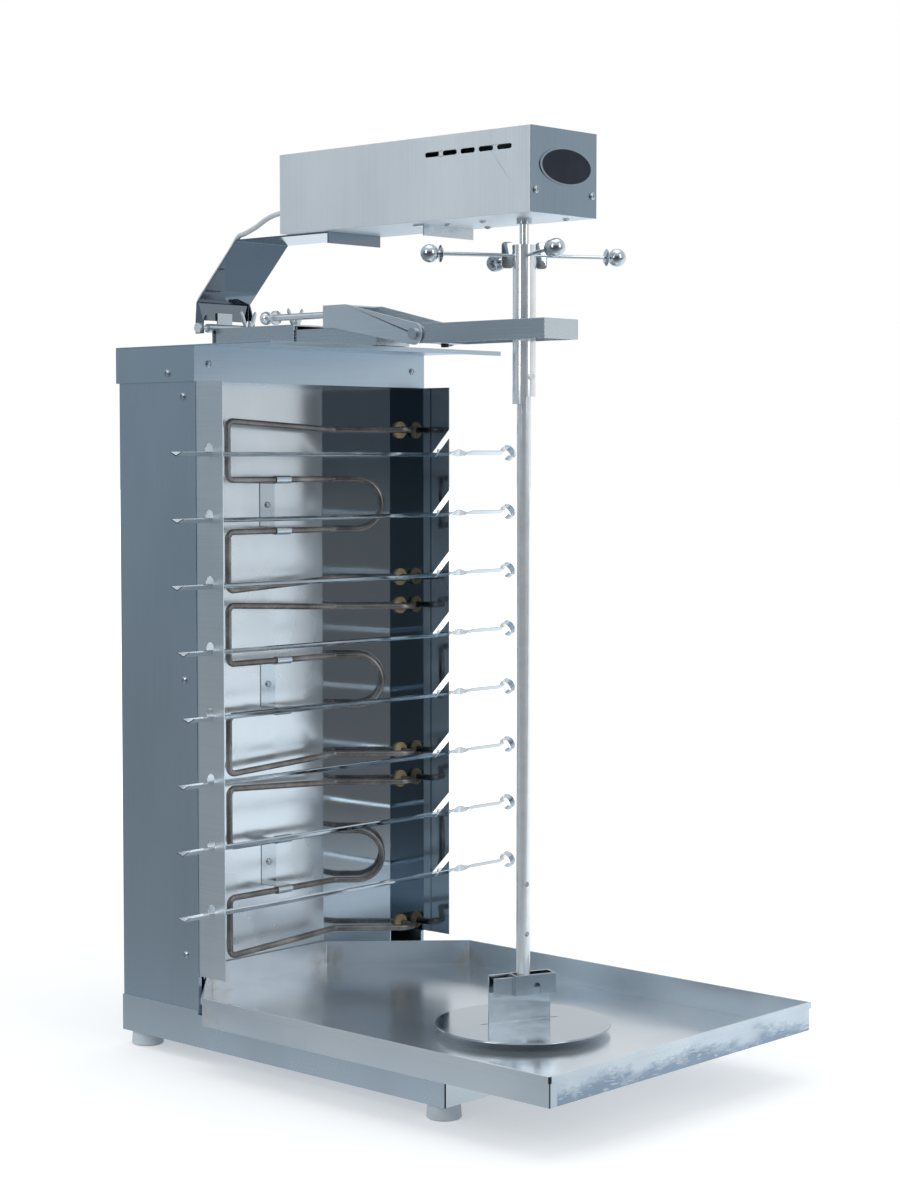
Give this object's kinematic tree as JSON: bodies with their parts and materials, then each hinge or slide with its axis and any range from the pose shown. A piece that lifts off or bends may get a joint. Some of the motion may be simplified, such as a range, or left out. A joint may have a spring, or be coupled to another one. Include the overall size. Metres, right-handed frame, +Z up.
{
  "type": "vertical kebab grill",
  "caption": "Table-top vertical kebab grill with a motor head on a slide, a hanging spit, electric heaters, flat skewers and a drip tray.",
  "frame": {"origin": "on the table, under the middle of the box that holds the whole grill", "axes": "+Z up, open front with the spit and tray towards -Y, skewer rings towards +X"},
  "size_m": [0.576, 0.7326, 1.05],
  "materials": {
    "brushed_sheet": "brushed",
    "satin_steel": "satin",
    "polished_steel": "polished",
    "bright_steel": "bright",
    "heater_sheath": "satin, heat stained",
    "bushing_ceramic": "unglazed ceramic",
    "zinc_fasteners": "zinc plated",
    "dark_nut": "blackened",
    "motor_iron": "matte",
    "black_plastic": "matte",
    "badge_plate": "gloss",
    "foot_rubber": "matte",
    "lead_sleeve": "matte"
  },
  "bodies": {
    "cabinet": {"base_plinth": "brushed_sheet", "feet": "foot_rubber", "left_side_panel": "brushed_sheet", "right_side_panel": "brushed_sheet", "left_skewer_rail": "satin_steel", "right_skewer_rail": "satin_steel", "rear_cover": "brushed_sheet", "top_cap": "brushed_sheet", "chamber_roof": "satin_steel", "visor": "brushed_sheet", "reflector": "polished_steel", "left_cheek_plate": "polished_steel", "right_cheek_plate": "polished_steel", "heater_upper": "heater_sheath", "heater_middle": "heater_sheath", "heater_lower": "heater_sheath", "heater_bushings": "bushing_ceramic", "heater_clips": "satin_steel", "casing_screws": "zinc_fasteners", "terminal_block": "black_plastic", "switch_bodies": "black_plastic", "cable_gland": "black_plastic", "slide_channel": "satin_steel"},
    "carriage": {"slide_bar": "satin_steel", "carriage_arm": "satin_steel", "fork_pivot_bolt": "zinc_fasteners"},
    "head": {"rear_bracket": "polished_steel", "hinge_pin": "zinc_fasteners", "head_casing": "brushed_sheet", "head_front_plate": "brushed_sheet", "head_floor_plate": "satin_steel", "head_angle_strip": "satin_steel", "head_badge": "badge_plate", "head_screws": "zinc_fasteners", "gear_motor": "motor_iron", "shaft_bearing": "zinc_fasteners", "motor_lead": "lead_sleeve"},
    "spit": {"drive_shaft": "bright_steel", "drive_sleeve": "satin_steel", "star_handle": "bright_steel", "spit_rod": "satin_steel", "meat_plate": "polished_steel"},
    "fork": {"fork_arm": "satin_steel", "fork_stop_nut": "dark_nut"},
    "lock_pull": {"lock_rod": "bright_steel"},
    "front_clamp": {"wing_screw_front": "bright_steel"},
    "rear_clamp": {"wing_screw_rear": "bright_steel"},
    "tray": {"drip_tray": "brushed_sheet"},
    "knob_1": {"heater_knob_1": "black_plastic"},
    "knob_2": {"heater_knob_2": "black_plastic"},
    "knob_3": {"heater_knob_3": "black_plastic"},
    "rocker": {"motor_switch_rocker": "black_plastic"},
    "skewer_1_body": {"skewer_1": "bright_steel"},
    "skewer_2_body": {"skewer_2": "bright_steel"},
    "skewer_3_body": {"skewer_3": "bright_steel"},
    "skewer_4_body": {"skewer_4": "bright_steel"},
    "skewer_5_body": {"skewer_5": "bright_steel"},
    "skewer_6_body": {"skewer_6": "bright_steel"},
    "skewer_7_body": {"skewer_7": "bright_steel"},
    "skewer_8_body": {"skewer_8": "bright_steel"}
  },
  "joints": [
    {"name": "slide_travel", "type": "slide", "parent": "cabinet", "child": "carriage", "axis": [0, 1, 0], "range_m": [-0.004, 0.045]},
    {"name": "head_tilt", "type": "hinge", "parent": "carriage", "child": "head", "pos_m": [-0.046, 0.3543, 0.855], "axis": [-1, 0, 0], "range_deg": [0, 12]},
    {"name": "spit_turn", "type": "hinge", "parent": "head", "child": "spit", "pos_m": [-0.046, -0.1347, 0.9], "axis": [0, 0, 1], "continuous": true},
    {"name": "fork_lift", "type": "hinge", "parent": "carriage", "child": "fork", "pos_m": [-0.046, 0.0033, 0.8362], "axis": [-1, 0, 0], "range_deg": [0, 16]},
    {"name": "lock_pull_travel", "type": "slide", "parent": "carriage", "child": "lock_pull", "axis": [0, 1, 0], "range_m": [0, 0.012], "stiffness_N_per_m": 200},
    {"name": "front_clamp_turn", "type": "hinge", "parent": "cabinet", "child": "front_clamp", "pos_m": [-0.046, 0.2293, 0.86], "axis": [0, 0, 1], "continuous": true},
    {"name": "rear_clamp_turn", "type": "hinge", "parent": "cabinet", "child": "rear_clamp", "pos_m": [-0.046, 0.3123, 0.86], "axis": [0, 0, 1], "continuous": true},
    {"name": "tray_pull", "type": "slide", "parent": "cabinet", "child": "tray", "axis": [0, -1, 0], "range_m": [0, 0.24]},
    {"name": "knob_1_turn", "type": "hinge", "parent": "cabinet", "child": "knob_1", "pos_m": [0.143, 0.2743, 0.165], "axis": [1, 0, 0], "range_deg": [0, 270]},
    {"name": "knob_2_turn", "type": "hinge", "parent": "cabinet", "child": "knob_2", "pos_m": [0.143, 0.2743, 0.233], "axis": [1, 0, 0], "range_deg": [0, 270]},
    {"name": "knob_3_turn", "type": "hinge", "parent": "cabinet", "child": "knob_3", "pos_m": [0.143, 0.2743, 0.301], "axis": [1, 0, 0], "range_deg": [0, 270]},
    {"name": "rocker_tip", "type": "hinge", "parent": "cabinet", "child": "rocker", "pos_m": [0.143, 0.2743, 0.4], "axis": [0, 0, 1], "range_deg": [0, 9]},
    {"name": "skewer_1_draw", "type": "slide", "parent": "cabinet", "child": "skewer_1_body", "axis": [1, 0, 0], "range_m": [0, 0.035]},
    {"name": "skewer_2_draw", "type": "slide", "parent": "cabinet", "child": "skewer_2_body", "axis": [1, 0, 0], "range_m": [0, 0.035]},
    {"name": "skewer_3_draw", "type": "slide", "parent": "cabinet", "child": "skewer_3_body", "axis": [1, 0, 0], "range_m": [0, 0.035]},
    {"name": "skewer_4_draw", "type": "slide", "parent": "cabinet", "child": "skewer_4_body", "axis": [1, 0, 0], "range_m": [0, 0.035]},
    {"name": "skewer_5_draw", "type": "slide", "parent": "cabinet", "child": "skewer_5_body", "axis": [1, 0, 0], "range_m": [0, 0.035]},
    {"name": "skewer_6_draw", "type": "slide", "parent": "cabinet", "child": "skewer_6_body", "axis": [1, 0, 0], "range_m": [0, 0.035]},
    {"name": "skewer_7_draw", "type": "slide", "parent": "cabinet", "child": "skewer_7_body", "axis": [1, 0, 0], "range_m": [0, 0.035]},
    {"name": "skewer_8_draw", "type": "slide", "parent": "cabinet", "child": "skewer_8_body", "axis": [1, 0, 0], "range_m": [0, 0.035]}
  ]
}
